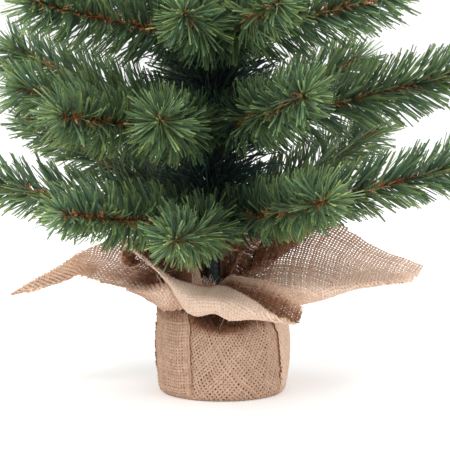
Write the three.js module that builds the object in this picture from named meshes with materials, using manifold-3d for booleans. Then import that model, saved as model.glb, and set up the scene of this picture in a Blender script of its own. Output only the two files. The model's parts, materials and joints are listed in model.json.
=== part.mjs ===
// Artificial tabletop tree. A cement weight stands in a gathered burlap square and holds a steel trunk
// tube. Film wound round the tube binds six tiers of bendable wire branches to it, and a leader plugged
// into the tube's end makes the top. Millimetres, +Z up, the front towards -Y, and the origin in the
// middle of the underside.
import * as THREE from "three";
import { mergeVertices } from "three/addons/utils/BufferGeometryUtils.js";
import Module from "manifold-3d";

const wasm = await Module();
wasm.setup();

const { degToRad, lerp } = THREE.MathUtils;

const CLEARANCE = 0.3;

// Trunk. It stands a little left of the middle of the weight.
const TRUNK_X = -8;
const TUBE = { radius: 4.75, bore: 4, bottom: 14, top: 533 };
const WRAP = { radius: 6.6, bottom: 76, top: 531, collarRadius: 9, collarHalfHeight: 6 };

// Cement weight.
const WEIGHT = { radius: 50, bottom: 2, shoulder: 57, top: 68, topRadius: 41, socketBottom: 13.7 };

// Burlap: a square cut, with its corners at 0, 90, 180 and 270 degrees.
const CLOTH = { side: 457, thickness: 1.6, usedToNeck: 165, columns: 48 };
const NECK = { radius: 16, bore: 7.4, bottom: 84.5, top: 90 };
// The corners in turn: right, back, left and front. Each has the degrees that the gather turns it
// from its place on the flat square, its reach as a share of its free length, and its height half-way
// and at the tip.
const CORNERS = [
  { turn: 0, share: 1.0, middle: 110, tip: 106 },
  { turn: -32, share: 0.78, middle: 114, tip: 128 },
  { turn: 0, share: 0.97, middle: 110, tip: 84 },
  { turn: 38, share: 0.58, middle: 102, tip: 80 },
];

// Tie round the burlap's neck.
const TIE_RADIUS = 1.3;

// Branches. Each wire turns on a pivot beside its tier's collar.
const WIRE_RADIUS = 1.3;
const PIVOT_RADIUS = 10.6;
const WIRE_TAIL = 0.6;
const WIRE_SIDES = 6;
const BRUSH = { start: 22, radius: 24, taper: 0.2, core: 3, overhang: 16, blades: 7 };
const SAG = -3;
const TIERS_WITH_BRUSHES = 3;
const BARE_BRANCHES = ["tier3_branch1", "tier3_branch2"];

// Each tier has the height of its pivots and its branches as [heading, rise, reach, bow]: degrees
// counter-clockwise from +X, degrees above level, the wire tip's distance from the trunk's axis, and
// how far the wire bows sideways, which keeps it clear of the wires above when it is folded up.
const TIERS = [
  {
    height: 148,
    branches: [
      [38, 20, 190, 7], [110, 12, 185, -7], [171, 8, 205, -6], [233, 7, 190, -7],
      [261, 2, 185, -7], [298, 11, 190, -8], [354, 13, 212, 7], [144, 20, 212, 7],
    ],
  },
  {
    height: 225,
    branches: [
      [42, 16, 175, -7], [100, 12, 172, 7], [161, 19, 188, 7], [198, 13, 165, -5],
      [230, 7, 180, 6], [257, 7, 175, 7], [294, 13, 180, 0], [357, 13, 208, -7],
    ],
  },
  {
    height: 300,
    branches: [
      [60, 15, 158, -5], [135, 14, 160, 5], [221, 11, 186, 6],
      [262, 10, 155, -6], [290, 13, 158, 6], [330, 14, 165, 4],
    ],
  },
  {
    height: 370,
    branches: [[20, 18, 128, 4], [92, 19, 126, -4], [164, 17, 128, -5], [236, 18, 124, -5], [308, 19, 128, 4]],
  },
  { height: 435, branches: [[55, 26, 98, 4], [145, 25, 96, -4], [232, 27, 98, 4], [325, 26, 96, -3]] },
  { height: 492, branches: [[15, 36, 72, 3], [135, 35, 70, 3], [255, 37, 72, -3]] },
];

// Leader: a plug in the tube's end, a bare stem, and a brush.
const LEADER = { plugRadius: 3.7, plugBottom: 506, stemTop: 540, top: 612, radius: 20 };

const needleGreen = new THREE.MeshStandardMaterial({ color: 0x3e6b3a, roughness: 0.55, metalness: 0 });
const wireBrown = new THREE.MeshStandardMaterial({ color: 0x5b4630, roughness: 0.6, metalness: 0.3 });
const cementGrey = new THREE.MeshStandardMaterial({ color: 0x9a968e, roughness: 0.95, metalness: 0 });
const tubeSteel = new THREE.MeshStandardMaterial({ color: 0x2c3a30, roughness: 0.45, metalness: 0.7 });
const filmBlack = new THREE.MeshStandardMaterial({ color: 0x18221d, roughness: 0.5, metalness: 0 });
const burlapTan = new THREE.MeshStandardMaterial({ color: 0xc9a583, roughness: 0.95, metalness: 0 });
const juteBrown = new THREE.MeshStandardMaterial({ color: 0xa9835c, roughness: 0.95, metalness: 0 });

function named(name, geometry, material) {
  const mesh = new THREE.Mesh(geometry, material);
  mesh.name = name;
  return mesh;
}

// A turned solid about +Z from [radius, height] points.
function turned(points, sides) {
  const profile = points.map(([radius, height]) => new THREE.Vector2(radius, height));
  return new THREE.LatheGeometry(profile, sides).rotateX(Math.PI / 2);
}

// A closed ring profile: up the outside, then down the bore.
function ringProfile(outside, bore) {
  return [...outside, ...bore, outside[0]];
}

// Pulls every second column of a turned solid about +Y in to the core, which leaves needle-like blades.
function bladed(geometry, blades, core) {
  const position = geometry.attributes.position;
  for (let i = 0; i < position.count; i++) {
    const x = position.getX(i);
    const z = position.getZ(i);
    const radius = Math.hypot(x, z);
    const column = Math.round((Math.atan2(x, z) * blades) / Math.PI);
    if (radius <= core || column % 2 === 0) continue;
    position.setX(i, (x * core) / radius);
    position.setZ(i, (z * core) / radius);
  }
  return geometry;
}

// Bends a straight branch that lies along +Y: sideways along X, and a sag along Z.
function bowed(geometry, length, bow) {
  const position = geometry.attributes.position;
  for (let i = 0; i < position.count; i++) {
    const along = position.getY(i) / length;
    const bulge = 4 * along * (1 - along);
    position.setX(i, position.getX(i) + bow * bulge);
    position.setZ(i, position.getZ(i) + SAG * bulge);
  }
  return geometry;
}

function wireGeometry(length, bow) {
  const steps = Math.max(3, Math.round(length / 35));
  const side = Array.from({ length: steps + 1 }, (_, i) => [
    WIRE_RADIUS,
    -WIRE_TAIL + ((length + WIRE_TAIL) * i) / steps,
  ]);
  const profile = [[0, -WIRE_TAIL], ...side, [0, length]];
  return bowed(new THREE.LatheGeometry(profile.map((p) => new THREE.Vector2(...p)), WIRE_SIDES), length, bow);
}

// The brush is closed over the wire's tip and open at the trunk's end, where the wire enters.
function brushGeometry(length, bow) {
  const bore = WIRE_RADIUS + CLEARANCE + 0.2;
  const fullFrom = BRUSH.radius / BRUSH.taper - PIVOT_RADIUS;
  const side = [
    [BRUSH.core, BRUSH.start],
    [BRUSH.taper * (50 + PIVOT_RADIUS), 50],
    [BRUSH.radius, fullFrom],
    [BRUSH.radius, length - 6],
    [BRUSH.radius * 0.7, length + BRUSH.overhang * 0.5],
    [0, length + BRUSH.overhang],
  ];
  const steps = 4;
  const boreEnd = length + CLEARANCE + 0.5;
  const inside = Array.from({ length: steps + 1 }, (_, i) => [
    bore,
    boreEnd + ((BRUSH.start - boreEnd) * i) / steps,
  ]);
  const profile = [[0, boreEnd], ...inside, ...side].map((p) => new THREE.Vector2(...p));
  const geometry = new THREE.LatheGeometry(profile, 2 * BRUSH.blades);
  return bowed(bladed(geometry, BRUSH.blades, BRUSH.core), length, bow);
}

// Free length of cloth beyond the neck, at an angle on the flat square with a corner at angle 0.
function freeLength(flatAngle) {
  const turn = flatAngle - Math.PI / 4;
  const edge = CLOTH.side / 2 / Math.max(Math.abs(Math.cos(turn)), Math.abs(Math.sin(turn)));
  return edge - CLOTH.usedToNeck;
}

// Blends the four corners' values at an angle on the flat square, each full at its own corner.
function fromCorners(flatAngle, key) {
  return CORNERS.reduce((sum, corner, i) => {
    const weight = Math.max(0, Math.cos(flatAngle - (i * Math.PI) / 2)) ** 2;
    return sum + weight * corner[key];
  }, 0);
}

const headingOf = (flatAngle) => flatAngle + degToRad(fromCorners(flatAngle, "turn"));

// One line of the cloth's outside, as [x, y, z], from the edge of the underside to the rim.
function clothRings(flatAngle) {
  const heading = headingOf(flatAngle);
  const dx = Math.cos(heading);
  const dy = Math.sin(heading);
  const base = [[48, 0], [52.6, 3], [54, 18], [55, 38], [53.6, 60], [46, 73], [28, 80]];
  const free = freeLength(flatAngle) * fromCorners(flatAngle, "share");
  const middle = fromCorners(flatAngle, "middle");
  const tip = fromCorners(flatAngle, "tip");
  const rise = (u) =>
    u < 0.5
      ? lerp(NECK.top, middle, Math.sin(u * Math.PI))
      : lerp(middle, tip, 1 - Math.cos((u - 0.5) * Math.PI));
  const flare = [0, 0.25, 0.5, 0.75, 1].map((u) => [NECK.radius + free * u, rise(u)]);
  return [
    ...base.map(([r, z]) => [r * dx, r * dy, z]),
    [TRUNK_X + NECK.radius * dx, NECK.radius * dy, NECK.bottom],
    ...flare.map(([r, z]) => [TRUNK_X + r * dx, r * dy, z]),
  ];
}

// The same line of its inside, from the rim back to the underside.
function liningRings(flatAngle) {
  const outer = clothRings(flatAngle);
  const heading = headingOf(flatAngle);
  const dx = Math.cos(heading);
  const dy = Math.sin(heading);
  const t = CLOTH.thickness;
  const flare = outer.slice(-4).reverse().map(([x, y, z]) => [x, y, z + t]);
  const neck = [[NECK.bore, NECK.top + 4], [NECK.bore, NECK.bottom - 6]];
  const base = [[26, 77.6], [45, 71.2], [52, 59.4], [53.4, 38], [52.4, 18], [51.2, 3.6], [46, t]];
  return [
    ...flare,
    ...neck.map(([r, z]) => [TRUNK_X + r * dx, r * dy, z]),
    ...base.map(([r, z]) => [r * dx, r * dy, z]),
  ];
}

function burlapGeometry() {
  const angles = Array.from({ length: CLOTH.columns }, (_, i) => (2 * Math.PI * i) / CLOTH.columns);
  const columns = angles.map((angle) => [...clothRings(angle), ...liningRings(angle)]);
  const rings = columns[0].length;
  const points = [[0, 0, 0], ...columns.flat(), [0, 0, CLOTH.thickness]];
  const at = (column, ring) => 1 + (column % CLOTH.columns) * rings + ring;
  const last = points.length - 1;
  const faces = [];
  for (let c = 0; c < CLOTH.columns; c++) {
    faces.push(0, at(c + 1, 0), at(c, 0));
    for (let r = 0; r + 1 < rings; r++) {
      faces.push(at(c, r), at(c + 1, r), at(c + 1, r + 1));
      faces.push(at(c, r), at(c + 1, r + 1), at(c, r + 1));
    }
    faces.push(at(c, rings - 1), at(c + 1, rings - 1), last);
  }
  const geometry = new THREE.BufferGeometry();
  geometry.setAttribute("position", new THREE.Float32BufferAttribute(points.flat(), 3));
  geometry.setIndex(faces);
  geometry.computeVertexNormals();
  return geometry;
}

// A closed geometry as a solid that can be cut, and back again.
function solidOf(geometry) {
  const bare = geometry.clone();
  bare.deleteAttribute("normal");
  bare.deleteAttribute("uv");
  const merged = mergeVertices(bare);
  return new wasm.Manifold(
    new wasm.Mesh({
      numProp: 3,
      vertProperties: merged.attributes.position.array,
      triVerts: new Uint32Array(merged.index.array),
    }),
  );
}

function geometryOf(solid) {
  const mesh = solid.getMesh();
  const geometry = new THREE.BufferGeometry();
  geometry.setAttribute("position", new THREE.BufferAttribute(mesh.vertProperties, 3));
  geometry.setIndex(new THREE.BufferAttribute(mesh.triVerts, 1));
  geometry.computeVertexNormals();
  return geometry;
}

// A cast puck with a bevelled top and an off-centre socket for the tube.
function weightGeometry() {
  const puck = turned(
    [
      [0, WEIGHT.bottom],
      [WEIGHT.radius - 4, WEIGHT.bottom],
      [WEIGHT.radius - 0.8, WEIGHT.bottom + 4],
      [WEIGHT.radius, WEIGHT.shoulder],
      [WEIGHT.topRadius, WEIGHT.top],
      [0, WEIGHT.top],
    ],
    40,
  );
  const depth = WEIGHT.top - WEIGHT.socketBottom;
  const socket = new THREE.CylinderGeometry(TUBE.radius + CLEARANCE, TUBE.radius + CLEARANCE, depth + 2, 20)
    .rotateX(Math.PI / 2)
    .translate(TRUNK_X, 0, WEIGHT.socketBottom + (depth + 2) / 2);
  return geometryOf(solidOf(puck).subtract(solidOf(socket)));
}

function tubeGeometry() {
  const outside = [[TUBE.radius, TUBE.bottom], [TUBE.radius, TUBE.top]];
  const bore = [[TUBE.bore, TUBE.top], [TUBE.bore, TUBE.bottom]];
  return turned(ringProfile(outside, bore), 20);
}

// Film wound round the tube, thicker at each tier where it binds the wires' tails.
function wrapGeometry() {
  const bore = TUBE.radius + CLEARANCE;
  const collars = TIERS.flatMap(({ height }) => [
    [WRAP.radius, height - 1.6 * WRAP.collarHalfHeight],
    [WRAP.collarRadius, height - WRAP.collarHalfHeight],
    [WRAP.collarRadius, height + WRAP.collarHalfHeight],
    [WRAP.radius, height + 1.6 * WRAP.collarHalfHeight],
  ]);
  const outside = [[WRAP.radius, WRAP.bottom], ...collars, [WRAP.radius, WRAP.top]];
  return turned(ringProfile(outside, [[bore, WRAP.top], [bore, WRAP.bottom]]), 16);
}

function leaderGeometry() {
  const profile = [
    [0, LEADER.plugBottom],
    [LEADER.plugRadius, LEADER.plugBottom],
    [LEADER.plugRadius, TUBE.top],
    [WIRE_RADIUS, TUBE.top + 2],
    [WIRE_RADIUS, LEADER.stemTop],
    [BRUSH.core, LEADER.stemTop + 2],
    [LEADER.radius, LEADER.stemTop + 26],
    [LEADER.radius * 0.8, LEADER.top - 16],
    [0, LEADER.top],
  ];
  const points = profile.map((p) => new THREE.Vector2(...p));
  const brush = new THREE.LatheGeometry(points, 2 * BRUSH.blades);
  const core = LEADER.plugRadius + 0.01;
  return bladed(brush, BRUSH.blades, core).rotateX(Math.PI / 2);
}

function tieGeometry() {
  return new THREE.TorusGeometry(NECK.radius + CLEARANCE + TIE_RADIUS, TIE_RADIUS, 8, 32);
}

const tree = new THREE.Group();
tree.add(named("cement_weight", weightGeometry(), cementGrey));
tree.add(named("burlap_wrap", burlapGeometry(), burlapTan));

const trunk = new THREE.Group();
trunk.position.x = TRUNK_X;
trunk.add(named("trunk_tube", tubeGeometry(), tubeSteel));
trunk.add(named("trunk_film", wrapGeometry(), filmBlack));
trunk.add(named("leader", leaderGeometry(), needleGreen));
const tie = named("neck_tie", tieGeometry(), juteBrown);
tie.position.z = (NECK.bottom + NECK.top) / 2;
trunk.add(tie);
tree.add(trunk);

TIERS.forEach(({ height, branches }, tierIndex) => {
  const tier = new THREE.Group();
  tier.position.z = height;
  trunk.add(tier);
  branches.forEach(([heading, rise, reach, bow], branchIndex) => {
    const name = `tier${tierIndex + 1}_branch${branchIndex + 1}`;
    const length = reach - PIVOT_RADIUS;
    const pointing = new THREE.Group();
    pointing.rotation.z = degToRad(heading - 90);
    const pivot = new THREE.Group();
    pivot.position.y = PIVOT_RADIUS;
    pivot.rotation.x = degToRad(rise);
    pivot.add(named(`${name}_wire`, wireGeometry(length, bow), wireBrown));
    if (tierIndex < TIERS_WITH_BRUSHES && !BARE_BRANCHES.includes(name))
      pivot.add(named(`${name}_needles`, brushGeometry(length, bow), needleGreen));
    pointing.add(pivot);
    tier.add(pointing);
  });
});

export default tree;
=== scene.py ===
"""Looks of the artificial tabletop tree: needles, twisted stems, wound trunk and burlap wrap."""

import json
import math

import bpy
import numpy as np
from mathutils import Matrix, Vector


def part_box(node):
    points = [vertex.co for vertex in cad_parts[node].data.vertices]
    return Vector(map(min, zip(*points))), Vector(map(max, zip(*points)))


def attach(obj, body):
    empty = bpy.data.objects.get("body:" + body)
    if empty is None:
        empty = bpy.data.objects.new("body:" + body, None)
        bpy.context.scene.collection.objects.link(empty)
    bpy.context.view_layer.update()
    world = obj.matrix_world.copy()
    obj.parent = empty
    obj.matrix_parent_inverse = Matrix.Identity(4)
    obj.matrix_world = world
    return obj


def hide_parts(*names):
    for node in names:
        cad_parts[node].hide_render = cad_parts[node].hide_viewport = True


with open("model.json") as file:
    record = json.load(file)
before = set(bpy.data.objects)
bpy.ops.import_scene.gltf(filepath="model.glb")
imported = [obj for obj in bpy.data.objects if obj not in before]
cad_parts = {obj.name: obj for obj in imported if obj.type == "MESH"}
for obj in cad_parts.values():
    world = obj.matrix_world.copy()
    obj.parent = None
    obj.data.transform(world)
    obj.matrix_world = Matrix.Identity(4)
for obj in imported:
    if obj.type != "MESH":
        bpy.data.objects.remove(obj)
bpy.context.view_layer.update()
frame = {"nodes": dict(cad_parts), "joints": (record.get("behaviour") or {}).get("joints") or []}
MM = 0.001
SEED = 20

# ---- mesh and material helpers
def mesh_piece(name, parts, materials):
    """A mesh object from parts: points in metres, quads, material index, and shade (n, 3) or None."""
    points, quads, slots, shades, offset = [], [], [], [], 0
    for place, faces, slot, shade in parts:
        points.append(np.asarray(place, np.float32))
        quads.append(np.asarray(faces, np.int64) + offset)
        slots.append(np.full(len(faces), slot, np.int32))
        shades.append(np.zeros((len(place), 3)) if shade is None else np.asarray(shade))
        offset += len(place)
    points, quads = np.concatenate(points), np.concatenate(quads)
    mesh = bpy.data.meshes.new(name)
    mesh.vertices.add(len(points))
    mesh.vertices.foreach_set("co", points.ravel())
    mesh.loops.add(quads.size)
    mesh.loops.foreach_set("vertex_index", quads.ravel().astype(np.int32))
    mesh.polygons.add(len(quads))
    mesh.polygons.foreach_set("loop_start", np.arange(0, quads.size, 4, dtype=np.int32))
    mesh.polygons.foreach_set("material_index", np.concatenate(slots))
    mesh.polygons.foreach_set("use_smooth", np.full(len(quads), True))
    mesh.update(calc_edges=True)
    layer = mesh.color_attributes.new("shade", "FLOAT_COLOR", "POINT")
    rgba = np.ones((len(points), 4), np.float32)
    rgba[:, :3] = np.concatenate(shades)
    layer.data.foreach_set("color", rgba.ravel())
    for material in materials:
        mesh.materials.append(material)
    piece = bpy.data.objects.new(name, mesh)
    bpy.context.scene.collection.objects.link(piece)
    return piece


def grey(value):
    return (value, value, value)


WHITE, BLACK = grey(1.0), grey(0.0)
MIX_A, MIX_B, MIX_RESULT = 6, 7, 2  # the colour sockets of a Mix node


class Surface:
    """A Principled material that is built node by node."""

    def __init__(self, name, roughness, **constants):
        self.material = bpy.data.materials.new(name)
        self.material.use_nodes = True
        self.nodes = self.material.node_tree.nodes
        self.links = self.material.node_tree.links
        self.shader = self.nodes["Principled BSDF"]
        self.shader.inputs["Roughness"].default_value = roughness
        for socket, value in constants.items():
            self.shader.inputs[socket.replace("_", " ")].default_value = value

    def node(self, kind, **values):
        made = self.nodes.new(kind)
        for key, value in values.items():
            setattr(made, key, value)
        return made

    def wire(self, value, socket):
        """Sets a socket to a number or a colour, or links another node's output to it."""
        if isinstance(value, (int, float)):
            socket.default_value = value
        elif isinstance(value, tuple):
            socket.default_value = (*value, 1.0) if len(value) == 3 else value
        else:
            self.links.new(value, socket)

    def shade(self):
        """The red, green and blue channels of the piece's shade attribute."""
        attribute = self.node("ShaderNodeAttribute", attribute_name="shade")
        split = self.node("ShaderNodeSeparateColor")
        self.links.new(attribute.outputs["Color"], split.inputs[0])
        return split.outputs

    def place(self, scale=(1.0, 1.0, 1.0)):
        coordinates = self.node("ShaderNodeTexCoord")
        mapping = self.node("ShaderNodeMapping")
        mapping.inputs["Scale"].default_value = scale
        self.links.new(coordinates.outputs["Object"], mapping.inputs["Vector"])
        return mapping.outputs[0]

    def noise(self, scale, detail=3.0, vector=None):
        made = self.node("ShaderNodeTexNoise")
        made.inputs["Scale"].default_value = scale
        made.inputs["Detail"].default_value = detail
        made.inputs["Roughness"].default_value = 0.55
        self.links.new(vector or self.place(), made.inputs["Vector"])
        return made.outputs["Fac"]

    def ramp(self, value, *stops):
        made = self.node("ShaderNodeValToRGB")
        elements = made.color_ramp.elements
        while len(elements) < len(stops):
            elements.new(0.5)
        for element, (at, colour) in zip(elements, stops):
            element.position = at
            element.color = (*colour, 1.0)
        self.wire(value, made.inputs["Fac"])
        return made.outputs["Color"]

    def mottle(self, scale, detail, *stops):
        return self.ramp(self.noise(scale, detail), *stops)

    def mix(self, fac, a, b, blend="MIX"):
        made = self.node("ShaderNodeMix", data_type="RGBA", blend_type=blend)
        self.wire(fac, made.inputs[0])
        self.wire(a, made.inputs[MIX_A])
        self.wire(b, made.inputs[MIX_B])
        return made.outputs[MIX_RESULT]

    def multiply(self, a, b):
        return self.mix(1.0, a, b, "MULTIPLY")

    def math(self, operation, a, b):
        made = self.node("ShaderNodeMath", operation=operation)
        self.wire(a, made.inputs[0])
        self.wire(b, made.inputs[1])
        return made.outputs[0]

    def colour(self, value):
        self.wire(value, self.shader.inputs["Base Color"])
        self.base = value

    def roughness(self, value):
        self.wire(value, self.shader.inputs["Roughness"])

    def bump(self, height, distance, strength):
        made = self.node("ShaderNodeBump")
        made.inputs["Strength"].default_value = strength
        made.inputs["Distance"].default_value = distance
        self.wire(height, made.inputs["Height"])
        self.links.new(made.outputs["Normal"], self.shader.inputs["Normal"])

    def translucent(self, share, tint):
        """Lets part of the light through, as thin film and loose fibre do."""
        through = self.node("ShaderNodeBsdfTranslucent")
        self.wire(self.multiply(self.base, tint), through.inputs["Color"])
        mixed = self.node("ShaderNodeMixShader")
        mixed.inputs[0].default_value = share
        self.links.new(self.shader.outputs[0], mixed.inputs[1])
        self.links.new(through.outputs[0], mixed.inputs[2])
        self.links.new(mixed.outputs[0], self.nodes["Material Output"].inputs["Surface"])


def unit(v):
    return v / np.maximum(np.linalg.norm(v, axis=-1, keepdims=True), 1e-12)


def ribbon_faces(count, rings):
    """Quads of count separate ribbons, each with that many rings of two points."""
    first = np.arange(count)[:, None] * rings * 2 + np.arange(rings - 1)[None, :] * 2
    first = first.ravel()
    return np.stack([first, first + 1, first + 3, first + 2], axis=1)


def sleeve_faces(rings, sides):
    """Quads of one sleeve, whose rings of points each have that many sides."""
    first = np.arange(rings - 1)[:, None] * sides
    side = np.arange(sides)[None, :]
    a, b = (first + side).ravel(), (first + (side + 1) % sides).ravel()
    return np.stack([a, b, b + sides, a + sides], axis=1)


# ---- camera, light and floor
CAMERA_PLACE = (0.0025, -1.9, 0.404)
CAMERA_DIP = 7.893  # degrees below level
CAMERA_LENS, SENSOR_WIDTH = 182.56, 36.0  # millimetres
CLIP_NEAR, CLIP_FAR = 0.05, 60.0
LIGHT_AIM = Vector((0.0, 0.0, 0.2))
# Square softboxes: place, side, power and colour.
SOFTBOXES = {
    "key": ((-0.9, -1.5, 1.7), 0.9, 26.0, (1.0, 0.985, 0.96)),
    "fill": ((1.6, -1.2, 0.9), 0.9, 7.0, (0.97, 0.985, 1.0)),
    "top": ((0.1, 0.3, 2.0), 1.2, 12.0, (1.0, 1.0, 1.0)),
}
FLOOR_HALF = 20.0
FLOOR_GLOW = 0.16


def add_camera(scene):
    data = bpy.data.cameras.new("camera")
    data.lens = CAMERA_LENS
    data.sensor_width = SENSOR_WIDTH
    data.clip_start = CLIP_NEAR
    data.clip_end = CLIP_FAR
    camera = bpy.data.objects.new("camera", data)
    camera.location = CAMERA_PLACE
    camera.rotation_euler = (math.radians(90 - CAMERA_DIP), 0.0, 0.0)
    scene.collection.objects.link(camera)
    scene.camera = camera


def add_light(scene):
    world = bpy.data.worlds.new("studio")
    world.use_nodes = True
    background = world.node_tree.nodes["Background"]
    background.inputs["Color"].default_value = (1.0, 1.0, 1.0, 1.0)
    background.inputs["Strength"].default_value = 1.0
    scene.world = world
    for name, (place, side, power, colour) in SOFTBOXES.items():
        data = bpy.data.lights.new(name, "AREA")
        data.shape = "RECTANGLE"
        data.size = data.size_y = side
        data.energy = power
        data.color = colour
        light = bpy.data.objects.new(name, data)
        light.location = place
        light.rotation_euler = (LIGHT_AIM - Vector(place)).to_track_quat("-Z", "Y").to_euler()
        scene.collection.objects.link(light)


def add_floor():
    half = FLOOR_HALF
    corners = [(-half, -half, 0), (half, -half, 0), (half, half, 0), (-half, half, 0)]
    mesh = bpy.data.meshes.new("floor")
    mesh.from_pydata(corners, [], [(0, 1, 2, 3)])
    floor = bpy.data.objects.new("floor", mesh)
    bpy.context.scene.collection.objects.link(floor)
    glow = dict(Emission_Color=(*WHITE, 1.0), Emission_Strength=FLOOR_GLOW)
    paper = Surface("paper", 0.9, Base_Color=(*grey(0.9), 1.0), **glow)
    mesh.materials.append(paper.material)


def studio():
    scene = bpy.context.scene
    add_camera(scene)
    add_light(scene)
    add_floor()
    scene.view_settings.view_transform = "Standard"


studio()

# ---- needle, fuzz and wire materials
# The shade of needles and fuzz holds how bright each one is, the place along it from root to tip, and a
# number of its own that picks its hue.
NEEDLE_ROUGHNESS, NEEDLE_GLOSS = 0.37, 0.6
BACKLIT_TINT = (2.0, 1.47, 0.72)


def needle_material(name, dark, mid, bright, through):
    """Film, bluer at the root and yellower at the tip, with painted shade darkening it towards the root and
    painted light brightening the tip. A third of the needles are brown at the root.
    """
    look = Surface(name, NEEDLE_ROUGHNESS, Specular_IOR_Level=NEEDLE_GLOSS)
    tone, along, hue = look.shade()
    body = look.ramp(tone, (0.0, dark), (0.5, mid), (1.0, bright))
    body = look.multiply(body, look.ramp(hue, (0.84, WHITE), (1.0, (1.5, 1.16, 0.7))))
    streak = look.mottle(700.0, 2.0, (0.3, (0.82, 0.84, 0.86)), (0.7, (1.14, 1.12, 1.08)))
    body = look.multiply(body, streak)
    # painted shade towards each needle's root and painted light at its tip
    root_shade_tip_light = look.ramp(
        along, (0.0, (0.46, 0.5, 0.54)), (0.45, (0.92, 0.94, 0.96)),
        (0.8, (1.12, 1.14, 1.08)), (1.0, (1.45, 1.32, 1.02)))
    body = look.multiply(body, root_shade_tip_light)
    near_root = look.ramp(along, (0.06, WHITE), (0.15, BLACK))
    rusty = look.ramp(hue, (0.35, WHITE), (0.4, BLACK))
    root = look.ramp(tone, (0.2, (0.06, 0.03, 0.012)), (0.8, (0.26, 0.1, 0.035)))
    look.colour(look.mix(look.math("MULTIPLY", near_root, rusty), body, root))
    look.bump(look.noise(1500.0, 2.0), 0.0002, 0.3)
    look.translucent(through, BACKLIT_TINT)
    return look.material


def fuzz_material():
    look = Surface("brown_fuzz", 0.6)
    tone = look.shade()[0]
    body = look.ramp(tone, (0.0, (0.22, 0.08, 0.028)), (0.5, (0.66, 0.275, 0.1)), (1.0, (0.92, 0.56, 0.3)))
    streak = look.mottle(900.0, 2.0, (0.3, (0.8, 0.8, 0.8)), (0.7, (1.15, 1.12, 1.05)))
    look.colour(look.multiply(body, streak))
    look.bump(look.noise(1600.0, 2.0), 0.0002, 0.3)
    look.translucent(0.18, (1.3, 1.1, 0.8))
    return look.material


def strand_material():
    look = Surface("twisted_wire", 0.5, Metallic=0.25)
    look.colour(look.mottle(
        320.0, 4.0, (0.35, (0.028, 0.022, 0.012)), (0.55, (0.075, 0.045, 0.02)),
        (0.75, (0.15, 0.085, 0.04))))
    look.roughness(look.mottle(500.0, 3.0, (0.3, grey(0.4)), (0.7, grey(0.65))))
    look.bump(look.noise(1400.0), 0.0002, 0.4)
    return look.material


NEEDLE = needle_material(
    "pine_needle", (0.025, 0.053, 0.05), (0.088, 0.17, 0.112), (0.208, 0.348, 0.218), through=0.35)
# a darker, less translucent copy of the needle film for the trunk's needles: painted shade
SHADED_TRUNK_NEEDLE = needle_material(
    "trunk_needle", (0.014, 0.031, 0.035), (0.03, 0.063, 0.06), (0.065, 0.12, 0.088), through=0.12)
FUZZ = fuzz_material()
STRAND = strand_material()

# ---- needles and stems
NEEDLE_RINGS = 4
NEEDLE_TAPER = np.array([0.8, 1.0, 1.0, 0.86])
NEEDLE_DROOP = -0.02  # a needle's mean bend at its tip, as a share of its length
NEEDLE_WIDTH = 1.3 * MM
NEEDLE_LENGTH = 42.5 * MM
NEEDLES_PER_MM = 5.6
TIP_NEEDLES = 54
ROW_CLIMB = 11.0 * MM  # how far the two rows of needles climb in one turn round the stem
STRAND_RADIUS = 0.47 * MM
STRAND_OFFSET = 0.42  # millimetres from the stem's middle line
STRAND_CLIMB = 5.5 * MM
STRAND_STEP = 0.9 * MM
FUZZ_PER_MM = 4.6
PUFF_PITCH = 6.5 * MM  # fuzz gathers in puffs this far apart
TIP_FUZZ = 22
FUZZ_START = 4 * MM
FOLIAGE_START = 7 * MM
LOW_TIER_UNDER = 0.8  # length of the lowest tier's downward needles, as a share of the others


def needle_part(
        rng, root, forward, outward, length, tilt, width, slot=0, tone=(0.5, 0.22), curl=0.03, turn=None):
    """Flat, slightly twisted needles. tilt is the angle between each one and its stem, tone the mean and
    spread of its brightness, curl how far it bends, and turn how it lies about its own length."""
    count = len(root)
    side = np.cross(forward, outward)
    ahead = np.cos(tilt)[:, None] * forward + np.sin(tilt)[:, None] * outward
    over = -np.sin(tilt)[:, None] * forward + np.cos(tilt)[:, None] * outward
    bend = rng.normal(NEEDLE_DROOP, curl, count)[:, None] * over
    bend = bend + rng.normal(0, curl * 0.8, count)[:, None] * side
    if turn is None:
        turn = rng.normal(math.pi / 2, 0.5, count)
    twist = rng.normal(0.0, 0.4, count)
    u = np.linspace(0.0, 1.0, NEEDLE_RINGS)
    points = np.zeros((count, NEEDLE_RINGS, 2, 3))
    for k in range(NEEDLE_RINGS):
        middle = root + length[:, None] * (u[k] * ahead + u[k] ** 2 * bend)
        angle = turn + twist * u[k]
        across = np.cos(angle)[:, None] * side + np.sin(angle)[:, None] * over
        half = (width * NEEDLE_TAPER[k] / 2)[:, None] * across
        points[:, k, 0], points[:, k, 1] = middle - half, middle + half
    shade = np.zeros((count, NEEDLE_RINGS, 2, 3))
    shade[..., 0] = np.clip(rng.normal(tone[0], tone[1], count), 0, 1)[:, None, None]
    shade[..., 1] = u[None, :, None]
    shade[..., 2] = rng.uniform(0, 1, count)[:, None, None]
    return points.reshape(-1, 3), ribbon_faces(count, NEEDLE_RINGS), slot, shade.reshape(-1, 3)


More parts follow.
